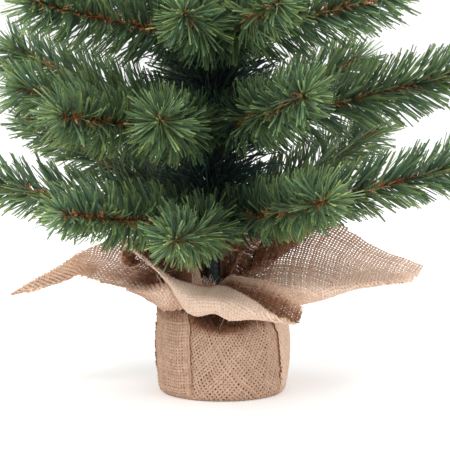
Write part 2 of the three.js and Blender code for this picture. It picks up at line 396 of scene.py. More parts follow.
class Stem:
    """The middle line of a branch wire, recovered from the wire's own mesh."""

    def __init__(self, node, pivot, heading):
        points = np.array([v.co for v in frame["nodes"][node].data.vertices])
        self.pivot = np.array(pivot)
        self.heading = heading
        self.side = np.array([-heading[1], heading[0], 0.0])
        local = points - self.pivot
        x = local @ self.heading
        self.x0, self.x1 = x.min(), x.max()
        self.lateral = np.polyfit(x, local @ self.side, 2)
        self.height = np.polyfit(x, local[:, 2], 2)

    def at(self, x):
        """Places at distances x from the pivot, the stem's direction there, and two directions across it."""
        y, z = np.polyval(self.lateral, x), np.polyval(self.height, x)
        place = self.pivot + x[:, None] * self.heading + y[:, None] * self.side
        place[:, 2] += z
        dy, dz = np.polyval(np.polyder(self.lateral), x), np.polyval(np.polyder(self.height), x)
        along = self.heading + dy[:, None] * self.side
        along[:, 2] += dz
        along = unit(along)
        level = unit(np.cross(along, np.array([0.0, 0.0, 1.0])))
        return place, along, level, np.cross(level, along)


class Upright:
    """A vertical stem, with the same use as Stem."""

    def __init__(self, x, y, z0, z1):
        self.x, self.y, self.x0, self.x1 = x, y, z0, z1

    def at(self, z):
        count = len(z)
        place = np.stack([np.full(count, self.x), np.full(count, self.y), z], axis=1)
        up = np.tile([0.0, 0.0, 1.0], (count, 1))
        right = np.tile([1.0, 0.0, 0.0], (count, 1))
        return place, up, right, np.cross(up, right)


def around(level, up, angle):
    return np.cos(angle)[:, None] * level + np.sin(angle)[:, None] * up


def row_needles(rng, stem, start, per_mm, length, under):
    """Two rows of needles wound along a stem, in pairs cut from one strip, darker near the trunk with painted
    shade.
    """
    end = stem.x1
    pairs = int((end - start) / MM * per_mm / 2)
    count = pairs * 2
    x = np.sort(rng.uniform(start, end, pairs))
    angle = 2 * np.pi * x / ROW_CLIMB + np.pi * (np.arange(pairs) % 2) + rng.normal(0, 0.42, pairs)
    grown = (x - start) / (end - start)
    tilt = np.radians(rng.normal(55 - 7 * grown, 4.5 + 9 * grown**6))
    long = length * rng.uniform(0.86, 1.03, pairs) * (0.88 + 0.12 * np.clip(grown * 5, 0, 1))
    long = long * (1 - grown**5 * rng.uniform(0.1, 0.5, pairs))
    turn = rng.normal(math.pi / 2, 0.55, pairs)
    x, angle, tilt, long, turn = (np.repeat(v, 2) for v in (x, angle, tilt, long, turn))
    x = x + np.tile([-0.5, 0.5], pairs) * NEEDLE_WIDTH * 1.1
    angle = angle + rng.normal(0, 0.05, count)
    tilt = tilt + rng.normal(0, 0.035, count)
    long = long * rng.uniform(0.93, 1.0, count)
    place, along, level, up = stem.at(np.minimum(x, end))
    outward = around(level, up, angle)
    long = long * (1 - (1 - under) * np.clip(-outward[:, 2] * 1.4, 0, 1))
    width = NEEDLE_WIDTH * rng.uniform(0.85, 1.2, count)
    # needles nearer the trunk get a lower tone: painted shade
    depth = np.clip((x - start) / (end - start) / 0.5, 0, 1)
    root = place + outward * 0.4 * MM
    tone = (0.16 + 0.37 * depth, 0.2)
    return needle_part(rng, root, along, outward, long, tilt, width, turn=turn, tone=tone)


def scattered(rng, stem, x, tilt, length, width, **look):
    """Needles or fibres at places x of a stem, all round it. tilt is in degrees from and to; length and width
    are from and to, and the unit they are in."""
    count = len(x)
    place, along, level, up = stem.at(x)
    outward = around(level, up, rng.uniform(0, 2 * np.pi, count))
    tilt = np.radians(rng.uniform(*tilt, count))
    long, wide = (rng.uniform(low, high, count) * size for low, high, size in (length, width))
    return needle_part(rng, place, along, outward, long, tilt, wide, **look)


def foliage_parts(rng, stem, start, per_mm=NEEDLES_PER_MM, length=NEEDLE_LENGTH, under=1.0):
    """Two rows of needles, and a burst of shorter, brighter ones at the stem's tip."""
    rows = row_needles(rng, stem, start, per_mm, length, under)
    x = stem.x1 - np.abs(rng.normal(0, 3.5 * MM, TIP_NEEDLES))
    long, wide = (0.4, 0.74, length), (0.7, 1.0, NEEDLE_WIDTH)
    return [rows, scattered(rng, stem, x, (4, 52), long, wide, tone=(0.8, 0.2), curl=0.06)]


def tube_part(middle, level, up, radius, sides, slot):
    """A tube round a line of points, closed at both ends by a ring drawn to the middle."""
    angle = np.arange(sides) * 2 * np.pi / sides
    circle = np.cos(angle)[None, :, None] * level[:, None, :] + np.sin(angle)[None, :, None] * up[:, None, :]
    points = middle[:, None, :] + radius * circle
    first, last = (np.repeat(middle[end, None, :], sides, 1) for end in (np.s_[:1], np.s_[-1:]))
    points = np.concatenate([first, points, last])
    return points.reshape(-1, 3), sleeve_faces(len(middle) + 2, sides), slot, None


def stem_parts(rng, stem, start):
    """Two thin wires twisted together, with short brown fibres held between them."""
    x = np.arange(stem.x0, stem.x1, STRAND_STEP)
    place, _, level, up = stem.at(x)
    turn = 2 * np.pi * x / STRAND_CLIMB
    parts = []
    for half_turn in (0.0, np.pi):
        offset = around(level, up, turn + half_turn) * STRAND_OFFSET * MM
        parts.append(tube_part(place + offset, level, up, STRAND_RADIUS, 6, 0))
    count = int((stem.x1 - start) / MM * FUZZ_PER_MM)
    puff = np.round(rng.uniform(start, stem.x1, count) / PUFF_PITCH) * PUFF_PITCH
    x = np.minimum(puff + rng.normal(0, 1.1 * MM, count), stem.x1)
    parts.append(scattered(rng, stem, x, (25, 75), (3.0, 8.5, MM), (0.7, 1.4, MM), slot=1, curl=0.2))
    x = stem.x1 - rng.uniform(0, 3 * MM, TIP_FUZZ)
    look = dict(slot=1, tone=(0.8, 0.2), curl=0.35)
    parts.append(scattered(rng, stem, x, (5, 80), (3, 8.5, MM), (0.6, 1.1, MM), **look))
    return parts


def build_branches():
    for number, joint in enumerate(frame["joints"]):
        body = joint["child"]
        rng = np.random.default_rng(SEED + number)
        axis = joint["axis"]
        stem = Stem(f"{body}_wire", joint["pos_m"], np.array([-axis[1], axis[0], 0.0]))
        wire = mesh_piece(f"{body}_stem", stem_parts(rng, stem, FUZZ_START), [STRAND, FUZZ])
        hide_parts(f"{body}_wire")
        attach(wire, body)
        under = LOW_TIER_UNDER if body.startswith("tier1") else 1.0
        needles = foliage_parts(rng, stem, FOLIAGE_START, under=under)
        foliage = mesh_piece(f"{body}_foliage", needles, [NEEDLE])
        if f"{body}_needles" in frame["nodes"]:
            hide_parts(f"{body}_needles")
        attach(foliage, body)


build_branches()

# ---- trunk and leader
film_low, film_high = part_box("trunk_film")
AXIS_X = (film_low.x + film_high.x) / 2
AXIS_Y = (film_low.y + film_high.y) / 2
LEADER_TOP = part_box("leader")[1].z
FILM_SIDES = 40
FILM_STEP = 0.9 * MM
FILM_CLIMB = 8.5 * MM  # how far one turn of the wound film climbs
CRINKLES = 7
TRUNK_NEEDLE_START = 138 * MM
TRUNK_NEEDLES_PER_MM = 12.0
TRUNK_ROW_CLIMB = 14 * MM
LEADER_NEEDLES_PER_MM = 8.0
LEADER_NEEDLE_LENGTH = 27 * MM
LEADER_TIP = 21 * MM  # the leader's wire ends this far below the top, which needles reach


def film_profile():
    """Radius of the wound film at each height, from the CAD solid."""
    points = np.array([v.co for v in frame["nodes"]["trunk_film"].data.vertices])
    radius = np.hypot(points[:, 0] - AXIS_X, points[:, 1] - AXIS_Y)
    heights = np.unique(np.round(points[:, 2], 5))
    outer = np.array([radius[np.abs(points[:, 2] - h) < 1e-5].max() for h in heights])
    return heights, outer


def film_material():
    look = Surface("wound_film", 0.4, Specular_IOR_Level=0.35)
    look.colour(look.mottle(
        160.0, 4.0, (0.3, (0.003, 0.006, 0.009)), (0.55, (0.006, 0.013, 0.016)),
        (0.8, (0.012, 0.026, 0.028))))
    look.roughness(look.mottle(420.0, 4.0, (0.3, grey(0.3)), (0.7, grey(0.6))))
    look.bump(look.noise(520.0, 4.0), 0.0006, 0.55)
    return look.material


def build_film(rng, heights, outer):
    """Film wound round the trunk in steep overlapping turns, with small crinkles."""
    z = np.arange(film_low.z, film_high.z, FILM_STEP)
    theta = np.arange(FILM_SIDES) * 2 * np.pi / FILM_SIDES
    zz, tt = np.meshgrid(z, theta, indexing="ij")
    lap = (zz / FILM_CLIMB - tt / (2 * np.pi)) % 1.0
    waves = rng.uniform((300, -5, 0), (1500, 5, 6.28), (CRINKLES, 3))
    crinkle = sum(np.sin(zz * a + tt * b + c) for a, b, c in waves) / CRINKLES
    core = np.interp(zz, heights, outer) - 0.35 * MM
    radius = core + 0.5 * MM * (1 - lap) ** 1.5 * 0.8 + crinkle * 0.16 * MM
    radius *= np.clip((film_high.z - zz) / (3 * MM), 0.5, 1.0)
    points = np.stack([AXIS_X + radius * np.cos(tt), AXIS_Y + radius * np.sin(tt), zz], axis=-1)
    part = (points.reshape(-1, 3), sleeve_faces(len(z), FILM_SIDES), 0, None)
    film = mesh_piece("trunk_wrap", [part], [film_material()])
    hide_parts("trunk_film")
    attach(film, "base")


def build_trunk_needles(rng, heights, outer):
    """The long needles that stand on the trunk itself, dark with painted shade."""
    trunk = Upright(AXIS_X, AXIS_Y, TRUNK_NEEDLE_START, film_high.z)
    count = int((trunk.x1 - trunk.x0) / MM * TRUNK_NEEDLES_PER_MM)
    z = np.sort(rng.uniform(trunk.x0, trunk.x1, count))
    place, along, level, up = trunk.at(z)
    row = np.pi * (np.arange(count) % 2)
    outward = around(level, up, 2 * np.pi * z / TRUNK_ROW_CLIMB + row + rng.normal(0, 0.6, count))
    root = place + outward * (np.interp(z, heights, outer)[:, None] - 0.5 * MM)
    long = rng.uniform(28, 60, count) * MM
    tilt = np.radians(rng.normal(60, 18, count))
    width = NEEDLE_WIDTH * rng.uniform(0.8, 1.1, count)
    needles = needle_part(rng, root, along, outward, long, tilt, width, tone=(0.45, 0.25))
    piece = mesh_piece("trunk_foliage", [needles], [SHADED_TRUNK_NEEDLE])
    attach(piece, "base")


def build_leader(rng):
    top = Upright(AXIS_X, AXIS_Y, film_high.z, LEADER_TOP - LEADER_TIP)
    stem = mesh_piece("leader_stem", stem_parts(rng, top, film_high.z), [STRAND, FUZZ])
    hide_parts("leader")
    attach(stem, "base")
    needles = foliage_parts(rng, top, film_high.z - 4 * MM, LEADER_NEEDLES_PER_MM, LEADER_NEEDLE_LENGTH)
    crown = mesh_piece("leader_foliage", needles, [NEEDLE])
    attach(crown, "base")


def build_trunk():
    rng = np.random.default_rng(SEED + 101)
    heights, outer = film_profile()
    build_film(rng, heights, outer)
    build_trunk_needles(rng, heights, outer)
    build_leader(rng)


build_trunk()

# ---- burlap: the cloth's shape
tie_low, tie_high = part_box("neck_tie")
NECK = np.array([AXIS_X / MM, AXIS_Y / MM, (tie_low.z + tie_high.z) / 2 / MM])

# Each petal is a grid of points, in millimetres from the middle of the neck. Rows run from the cut edge of
# the cloth, over the petal's inner face, round its fold and back under it; columns run from tip to neck.
RIGHT_PETAL = [
    [(177, -12, 20), (162, -2, 25), (146, 8, 30), (125, 20, 40),
     (109, 32, 51), (92, 46, 56), (73, 52, 57), (51, 46, 49)],
    [(174, -15, 18), (156, -8, 22), (134, 0, 25), (112, 8, 30),
     (93, 14, 35), (76, 20, 39), (59, 22, 37), (37, 18, 29)],
    [(172, -18, 15), (150, -16, 16), (128, -14, 18), (107, -12, 20),
     (86, -10, 21), (65, -8, 21), (45, -6, 17), (23, 0, 10)],
    [(166, -23, 9), (144, -27, 8), (119, -31, 6), (102, -36, 6),
     (82, -38, 5), (64, -37, 6), (45, -30, 4), (21, -16, 1)],
    [(162, -18, 9), (141, -20, 7), (121, -22, 4), (106, -26, -1),
     (90, -28, -6), (73, -28, -9), (53, -24, -10), (28, -18, -7)],
    [(159, -10, 13), (139, -7, 15), (119, -4, 13), (102, -4, 6),
     (86, -2, -1), (69, 0, -5), (48, 0, -6), (27, 0, -5)],
]
BACK_PETAL = [
    [(98, 56, 53), (93, 112, 49), (64, 104, 46), (37, 90, 45), (10, 80, 43), (-16, 66, 43), (-39, 48, 40)],
    [(85, 44, 40), (74, 76, 39), (52, 76, 37), (31, 68, 35), (10, 60, 33), (-11, 50, 32), (-30, 36, 29)],
    [(66, 28, 27), (54, 42, 27), (39, 44, 25), (23, 42, 22), (8, 38, 20), (-7, 32, 20), (-19, 22, 18)],
    [(42, 10, 13), (32, 16, 13), (22, 20, 11), (13, 20, 9), (3, 18, 8), (-6, 14, 7), (-12, 8, 5)],
    [(23, 4, 2), (18, 10, 2), (11, 13, 1), (5, 14, 1), (-2, 12, 0), (-8, 8, 0), (-12, 3, 0)],
]
FRONT_PETAL = [
    [(73, -62, -3), (70, -58, 2), (62, -52, 8), (48, -44, 12), (31, -36, 14), (16, -28, 15),
     (6, -21, 6), (-5, -19, -2), (-12, -18, 20), (-17, -14, 32), (-23, -10, 43)],
    [(73, -68, -8), (66, -66, -3), (55, -62, 3), (41, -54, 7), (26, -44, 10), (13, -34, 10),
     (1, -28, 2), (-8, -29, 0), (-17, -29, 17), (-24, -26, 32), (-37, -24, 45)],
    [(71, -73, -14), (63, -74, -10), (51, -72, -4), (37, -66, 2), (23, -56, 6), (11, -44, 8),
     (-1, -38, 3), (-13, -39, 3), (-25, -40, 14), (-37, -40, 29), (-53, -38, 45)],
    [(70, -77, -16), (61, -81, -14), (48, -83, -8), (35, -81, 1), (21, -73, 8), (8, -61, 11),
     (-5, -53, 9), (-18, -54, 12), (-33, -56, 17), (-48, -54, 27), (-67, -50, 42)],
    [(69, -75, -17), (59, -81, -15), (45, -87, -10), (31, -89, -4), (16, -87, 1), (2, -81, 3),
     (-11, -75, 3), (-21, -69, 5), (-29, -63, 7), (-46, -52, 24), (-65, -48, 39)],
    [(68, -71, -17), (57, -75, -16), (42, -79, -13), (28, -81, -12), (15, -79, -13), (2, -75, -8),
     (-11, -71, -11), (-18, -66, -10), (-23, -60, -6), (-43, -48, 22), (-62, -45, 38)],
    [(67, -63, -15), (54, -63, -14), (39, -63, -11), (25, -61, -10), (13, -59, -9), (1, -55, -8),
     (-9, -51, -8), (-15, -48, -6), (-18, -46, -3), (-40, -44, 23), (-59, -42, 38)],
]
LEFT_PETAL = [
    [(-169, -20, -2), (-152, -10, 8), (-133, 0, 17), (-116, 10, 27), (-100, 20, 34),
     (-81, 26, 39), (-59, 26, 36), (-36, 18, 25), (-16, 8, 13)],
    [(-169, -21, -2), (-150, -17, 6), (-129, -13, 13), (-111, -8, 21), (-95, -2, 22),
     (-76, 2, 21), (-56, 2, 19), (-34, 2, 14), (-14, 0, 5)],
    [(-168, -23, -2), (-147, -27, 3), (-127, -31, 10), (-110, -35, 16), (-93, -41, 12),
     (-72, -48, 9), (-53, -53, 9), (-37, -54, 13), (-22, -40, 9)],
    [(-168, -22, -3), (-147, -22, 3), (-128, -24, 8), (-110, -27, 14), (-91, -34, 9),
     (-69, -42, 4), (-51, -52, 0), (-36, -57, -1), (-22, -50, -1)],
    [(-168, -20, -3), (-148, -16, 4), (-128, -15, 10), (-110, -15, 15), (-90, -20, 10),
     (-68, -26, 3), (-52, -36, -6), (-41, -46, -12), (-23, -46, -11)],
]
PETAL_STEPS = 7

WALL_PROFILE = [
    (46.5, 0.6), (50.5, 1.0), (52.6, 3.4), (53.6, 9), (54, 18), (54.6, 30), (55, 40), (54.6, 50),
    (53.4, 60), (50.5, 68), (45, 74.5), (36, 79), (27, 82), (19, 85), (14.5, 88),
]
# Laps of cloth round the base: tone, what wall_grid is told and what weave_parts is told. The lap with the
# ridge has a dent in its shoulder, darkened with painted shadow.
WALL_LAPS = [
    (0.46, dict(sweep=(168, 243.5), stand=(0.1, 1.7)), dict(turn=3, skew=88, cover=0.76)),
    (0.48, dict(sweep=(236, 339), bend=130, ridge=(310.5, 2.1, 3.0)), dict(turn=60, skew=66, cover=0.7)),
    (0.7, dict(sweep=(328, 402), stand=(1.4, 1.2), lean=-0.19), dict(turn=12, skew=84, cover=0.86)),
    (0.5, dict(sweep=(396, 478), stand=(0.0, 0.2)), dict(turn=28, skew=80, cover=0.72)),
    (0.5, dict(sweep=(470, 534), stand=(1.6, 1.6)), dict(turn=-12, skew=84, cover=0.74)),
]
WALL_STEP = 1.5  # degrees
INNER_WALL_INSET = 2.4
WALL_GATHER = 2.2  # how deep the gathers at the shoulder are
BASE_RADIUS = 49.0
BASE_HEIGHT = 0.75


def spline_rows(points, steps):
    """Catmull-Rom curve through the rows of an array, with that many steps between two of them."""
    points = np.asarray(points, float)
    ends = np.concatenate([2 * points[:1] - points[1:2], points, 2 * points[-1:] - points[-2:-1]])
    made = []
    for k in range(len(points) - 1):
        p0, p1, p2, p3 = ends[k:k + 4]
        square = 2 * p0 - 5 * p1 + 4 * p2 - p3
        cube = 3 * p1 - p0 - 3 * p2 + p3
        for u in np.arange(steps) / steps:
            made.append(0.5 * (2 * p1 + (p2 - p0) * u + square * u**2 + cube * u**3))
    made.append(points[-1])
    return np.array(made)


def smooth_grid(points):
    rows = spline_rows(np.asarray(points, float) + NECK, PETAL_STEPS)
    return spline_rows(rows.transpose(1, 0, 2), PETAL_STEPS).transpose(1, 0, 2)


def wall_grid(sweep, stand=(0.0, 0.0), bend=0.0, lean=0.0, ridge=None, inset=0.0):
    """A lap of cloth round the base, and the same grid laid flat. sweep is from and to in degrees, stand how
    far each side stands off the wall, bend the radius that the weave is bent to (0 is straight), lean how far
    the first side leans in degrees for each mm of height, and ridge a fold's angle, height and width."""
    (start, end), (stand_from, stand_to) = sweep, stand
    outline = spline_rows(np.array(WALL_PROFILE), 5)
    length = np.concatenate([[0], np.cumsum(np.linalg.norm(np.diff(outline, axis=0), axis=1))])
    theta = np.radians(np.arange(start, end + 0.01, WALL_STEP))
    share = np.linspace(0, 1, len(theta))
    r, z = outline[:, 0][:, None], outline[:, 1][:, None]
    theta = theta[None, :] + np.radians(lean) * (z - 40) * (1 - share[None, :])
    waist = np.clip((z - 3) / 20, 0, 1) * np.clip((86 - z) / 12, 0, 1)
    stand_off = stand_from + (stand_to - stand_from) * share[None, :]
    near_end, near_start = (np.exp(-far * theta.shape[1] / 2.5)[None, :] for far in (1 - share, share))
    lip = 0.9 * (near_end * (stand_to > 1) + near_start * (stand_from > 1))
    soft = 0.7 * np.sin(theta * 5.0 + 0.6) * np.sin(z / 27.0) + 0.4 * np.sin(theta * 11.0 + z / 16.0)
    fold = WALL_GATHER * np.sin(theta * 21 + 1.3) * np.clip((z - 66) / 12, 0, 1)
    radius = r + (stand_off + lip + soft * 0.8) * waist + fold * np.clip(r / 30, 0, 1) - inset
    if ridge:
        middle, height, width = ridge
        away = (np.degrees(theta) - middle - (z - 35) * 0.05) / width
        radius = radius + height * np.exp(-(away ** 2)) * waist
    z_all = np.broadcast_to(z, radius.shape)
    grid = np.stack([radius * np.cos(theta), radius * np.sin(theta), z_all], axis=2)
    grid[..., 0] += np.clip((z - 60) / 25, 0, 1) * NECK[0]
    x, y = np.broadcast_arrays(54.0 * (theta - theta.mean()), length[:, None] - 50.0)
    if bend:
        x, y = (bend + y) * np.sin(x / bend), (bend + y) * np.cos(x / bend) - bend
    return grid, np.stack([x, y], axis=2)


def base_grid():
    """The round of cloth under the weight, and the same grid laid flat."""
    r = np.linspace(0.5, BASE_RADIUS, 24)[:, None]
    theta = np.radians(np.arange(0, 361, 6))[None, :]
    flat = np.stack([r * np.cos(theta), r * np.sin(theta)], axis=2)
    return np.concatenate([flat, np.full(flat.shape[:2] + (1,), BASE_HEIGHT)], axis=2), flat


def loop_grid():
    """The small hollow curl at the left: a cone of cloth, open towards the front."""
    turn = np.radians(np.linspace(-60, 290, 30))[None, :]
    depth = np.linspace(0, 1, 12)[:, None]
    size = 1 - 0.62 * depth**1.4
    x = -65 + 11 * size * np.cos(turn) + 5 * depth
    z = 36 + 11.5 * size * np.sin(turn) + 1.5 * np.cos(turn) - 2 * depth
    y = -50 + 18 * depth + 2 * np.cos(turn)
    return np.stack([x, y, z], axis=2) + NECK


def throat_grid():
    """The gathered cloth behind the trunk, opening upwards from the tie."""
    turn = np.radians(np.linspace(-25, 205, 40))[None, :]
    rise = np.linspace(0, 1, 14)[::-1, None]
    radius = 12.5 + 13 * rise**1.5 + 1.3 * np.sin(turn * 9) * rise
    z = np.broadcast_to(-3 + 33 * rise, radius.shape)
    return np.stack([radius * np.cos(turn), radius * np.sin(turn), z], axis=2) + NECK


# ---- burlap: laying a grid flat
FLATTEN_ROUNDS = 200
FLATTEN_PUSH = 0.15
CELL_CORNERS = np.s_[:-1, :-1], np.s_[:-1, 1:], np.s_[1:, 1:], np.s_[1:, :-1]


def spanned(a, b):
    """Area between two arrows of a flat grid, below 0 where they are turned over."""
    return a[..., 0] * b[..., 1] - a[..., 1] * b[..., 0]


def least_areas(flat):
    """Smaller of two opposite corners' areas for each cell of a flat grid."""
    a, b, c, d = (flat[corner] for corner in CELL_CORNERS)
    return np.minimum(spanned(b - a, d - a), spanned(d - c, b - c))


def flatten(grid):
    """Lays a curved grid out flat, close to its own edge lengths and with no cell turned over."""
    u = np.cumsum(np.linalg.norm(np.diff(grid, axis=1, prepend=grid[:, :1]), axis=2), axis=1)
    v = np.cumsum(np.linalg.norm(np.diff(grid, axis=0, prepend=grid[:1]), axis=2), axis=0)
    flat = np.stack([np.broadcast_to(u.mean(0), u.shape), np.broadcast_to(v, v.shape)], axis=2).copy()
    a, b, c, d = CELL_CORNERS
    pairs = [(np.s_[:, :-1], np.s_[:, 1:]), (np.s_[:-1], np.s_[1:]), (a, c), (b, d)]
    lengths = [np.linalg.norm(grid[end] - grid[start], axis=2) for start, end in pairs]
    cells = np.linalg.norm(np.cross(grid[d] - grid[a], grid[b] - grid[a]), axis=2)
    floor = np.minimum(0.45 * cells, 0.5 * least_areas(flat))
    for _ in range(FLATTEN_ROUNDS):
        move = np.zeros_like(flat)
        for (start, end), length in zip(pairs, lengths):
            gap = flat[end] - flat[start]
            size = np.maximum(np.linalg.norm(gap, axis=2), 1e-6)
            push = gap * ((size - length) / size)[..., None] * FLATTEN_PUSH
            move[start] += push
            move[end] -= push
        while (folded := least_areas(flat + move) < floor).any():
            for corner in CELL_CORNERS:
                move[corner][folded] = 0
        flat += move
    edge = flat[0, -1] - flat[0, 0]
    turn = -math.atan2(edge[1], edge[0])
    return flat @ np.array([[math.cos(turn), math.sin(turn)], [-math.sin(turn), math.cos(turn)]])


# ---- burlap: weaving over a grid
PITCH = 2.65  # millimetres from yarn to yarn
COVER = 0.64  # a yarn's width, as a share of the pitch
YARN_LIFT = 0.36  # how far a yarn rises over each one that it crosses, in millimetres
YARN_CROWN = 0.75  # how far a yarn's middle stands above its edges, as a share of half its width
WAVER = 0.14  # size of each wave that the yarns wander in, as a share of the pitch
EDGE_SLACK = 1e-6  # keeps the crossings that lie on a triangle's edge
KEY_STEP = 100003  # more than the number of yarns either way
RAW_TOP, RAW_TIP = 0.09, 0.06  # how deep a frayed edge reaches, as a share of the grid


def spread(stops, s, t):
    """A plain number, or rows of (t, values along s) that are read off between."""
    if isinstance(stops, (int, float)):
        return np.full(len(t), float(stops))
    rows = np.stack([np.interp(s, np.linspace(0, 1, len(row)), row) for _, row in stops])
    at = np.array([place for place, _ in stops])
    k = np.clip(np.searchsorted(at, t) - 1, 0, len(at) - 2)
    w = np.clip((t - at[k]) / (at[k + 1] - at[k]), 0, 1)
    n = np.arange(len(t))
    return rows[k, n] * (1 - w) + rows[k + 1, n] * w


def per_triangle(values):
    """A grid's values at the three corners of each half cell."""
    a, b, c, d = CELL_CORNERS
    width = values.shape[-1]
    return np.concatenate([
        np.stack([values[corner].reshape(-1, width) for corner in half], axis=1)
        for half in ((a, b, c), (a, c, d))])


def yarn_numbers(flat, turn, skew, shift):
    """Which warp and which weft yarn pass each point of a flat grid."""
    a, b = math.radians(turn), math.radians(turn + skew)
    yarns = np.array([[math.cos(a), math.cos(b)], [math.sin(a), math.sin(b)]])
    numbers = flat @ np.linalg.inv(yarns).T / PITCH + shift
    i, j = numbers[..., 0], numbers[..., 1]
    waver_i = np.sin(j * 0.31 + 1.0) + np.sin(j * 0.83)
    waver_j = np.sin(i * 0.27) + np.sin(i * 0.71 + 2.0)
    return numbers + WAVER * np.stack([waver_i, waver_j], axis=2)


def lattice(grid, flat, turn, skew, shift):
    """A plain weave's yarn crossings over a grid: numbers, places, normals, places in the grid, steps."""
    ss, tt = np.meshgrid(np.linspace(0, 1, grid.shape[1]), np.linspace(0, 1, grid.shape[0]))
    normal = unit(np.cross(np.gradient(grid, axis=1), np.gradient(grid, axis=0)))
    facts = per_triangle(np.concatenate([grid, normal, ss[..., None], tt[..., None]], axis=2))
    spots = per_triangle(yarn_numbers(flat, turn, skew, shift))
    m = np.stack([spots[:, 1] - spots[:, 0], spots[:, 2] - spots[:, 0]], axis=2)
    good = np.abs(np.linalg.det(m)) > 1e-7
    spots, facts, inverse = spots[good], facts[good], np.linalg.inv(m[good])
    legs = np.stack([facts[:, 1, :3] - facts[:, 0, :3], facts[:, 2, :3] - facts[:, 0, :3]], axis=2)
    steps = legs @ inverse
    low = np.ceil(spots.min(1)).astype(int)
    span = int(np.ceil((spots.max(1) - spots.min(1)).max())) + 1
    found = []
    for step in np.ndindex(span, span):
        spot = low + np.array(step)
        w = np.einsum("nij,nj->ni", inverse, spot - spots[:, 0])
        hit = (w[:, 0] >= -EDGE_SLACK) & (w[:, 1] >= -EDGE_SLACK) & (w.sum(1) <= 1 + EDGE_SLACK)
        weights = np.stack([1 - w[hit].sum(1), w[hit, 0], w[hit, 1]], axis=1)
        values = np.einsum("nk,nkc->nc", weights, facts[hit])
        found.append(np.concatenate([spot[hit], values, steps[hit].reshape(-1, 6)], axis=1))
    found = np.concatenate(found)
    keys = found[:, 0].astype(int) * KEY_STEP + found[:, 1].astype(int)
    found = found[np.unique(keys, return_index=True)[1]]
    ij = found[:, :2].astype(int)
    steps = found[:, 10:16].reshape(-1, 3, 2)
    return ij - ij.min(0), found[:, 2:5], unit(found[:, 5:8]), found[:, 8], found[:, 9], steps


def frayed_ends(rng, ends, sign, middle, half, run, shade, fringe):
    """Loose tapering yarn tips at a cut edge."""
    reach = rng.uniform(0.25, 1.25, len(ends))[:, None] * fringe
    stray = (rng.normal(0, 0.2, (len(ends), 3)) * reach) * PITCH * 0.5
    tip = middle[ends] + sign * run[ends] * reach + stray
    thin = half[ends] * rng.uniform(0.25, 0.6, len(ends))[:, None]
    quad = np.stack([middle[ends] - half[ends], middle[ends] + half[ends], tip + thin, tip - thin], axis=1)
    light = np.repeat(shade[ends, :1], 4, axis=1)
    light[:, 1:3, 2] = 1.0
    light[..., 0] = np.clip(light[..., 0] + 0.1, 0, 1)
    return quad.reshape(-1, 3) * MM, np.arange(len(ends) * 4).reshape(-1, 4), 0, light.reshape(-1, 3)


def weave_parts(
        rng, grid, turn=0.0, skew=90.0, flat=None, tone=0.5, cover=COVER, even=1.0, raw=(), fringe=0.8,
        gap=None):
    """Plain-woven yarns over a grid of points in millimetres. spread reads tone and cover, even is how uneven
    the yarns are, raw names the edges that fray (tip or top), fringe is how far their ends reach, and gap is
    a window left open: from and to along the columns, and from which row on. The shade holds each yarn's
    tone, the place from first row to last, and the place across the yarn."""
    flat = flatten(grid) if flat is None else flat
    found = lattice(grid, flat, turn, skew, rng.uniform(0, 1, 2))
    if gap:
        (s_from, s_to), t_from = gap
        kept = ~((found[3] > s_from) & (found[3] < s_to) & (found[4] > t_from))
        found = [facts[kept] for facts in found]
    ij, place, up, s_at, t_at, step = found
    index = np.full(ij.max(0) + 2, -1)
    index[ij[:, 0], ij[:, 1]] = np.arange(len(ij))
    over = np.where(ij.sum(1) % 2 == 0, 1.0, -1.0)
    base_tone, base_cover = spread(tone, s_at, t_at), spread(cover, s_at, t_at)
    cut = (t_at < RAW_TOP) & ("top" in raw) | (s_at < RAW_TIP) & ("tip" in raw)
    parts = []
    for family in (0, 1):
        run, cross = step[:, :, family], step[:, :, 1 - family]
        line = ij[:, 1 - family]
        lines = line.max() + 1
        shift = rng.normal(0, 0.07, lines)[line]
        colour = base_tone + even * (rng.normal(0, 0.055, lines)[line] + rng.normal(0, 0.06, len(ij)))
        thick = 1 + even * (rng.uniform(0.88, 1.12, lines)[line] * rng.normal(1, 0.08, len(ij)) - 1)
        side = np.cross(up, unit(run))
        size = np.minimum(np.abs((cross * side).sum(1)), PITCH * 1.3)
        rise = over * (1 if family else -1) * YARN_LIFT * size / PITCH
        middle = place + cross * shift[:, None] + up * rise[:, None]
        half = side * (base_cover * size * thick / 2)[:, None]
        crown = up * np.linalg.norm(half, axis=1)[:, None] * YARN_CROWN
        points = np.stack([middle - half, middle + crown, middle + half], axis=1)
        shade = np.stack([np.clip(colour, 0, 1), t_at, np.zeros(len(ij))], axis=1)
        shade = np.repeat(shade[:, None, :], 3, axis=1)
        shade[:, 1:, 2] = (0.5, 1.0)
        neighbour = ij.copy()
        neighbour[:, family] += 1
        after = index[neighbour[:, 0], neighbour[:, 1]]
        here = np.flatnonzero(after >= 0)
        there = after[here]
        first, second = here * 3, there * 3
        faces = np.concatenate([
            np.stack([first + k, first + k + 1, second + k + 1, second + k], axis=1) for k in (0, 1)])
        parts.append((points.reshape(-1, 3) * MM, faces, 0, shade.reshape(-1, 3)))
        before = np.full(len(ij), -1)
        before[there] = here
        for sign, missing in ((1, after < 0), (-1, before < 0)):
            ends = np.flatnonzero(missing & cut)
            if len(ends):
                parts.append(frayed_ends(rng, ends, sign, middle, half, run, shade, fringe))
    return parts


FIBRE_RINGS = 5


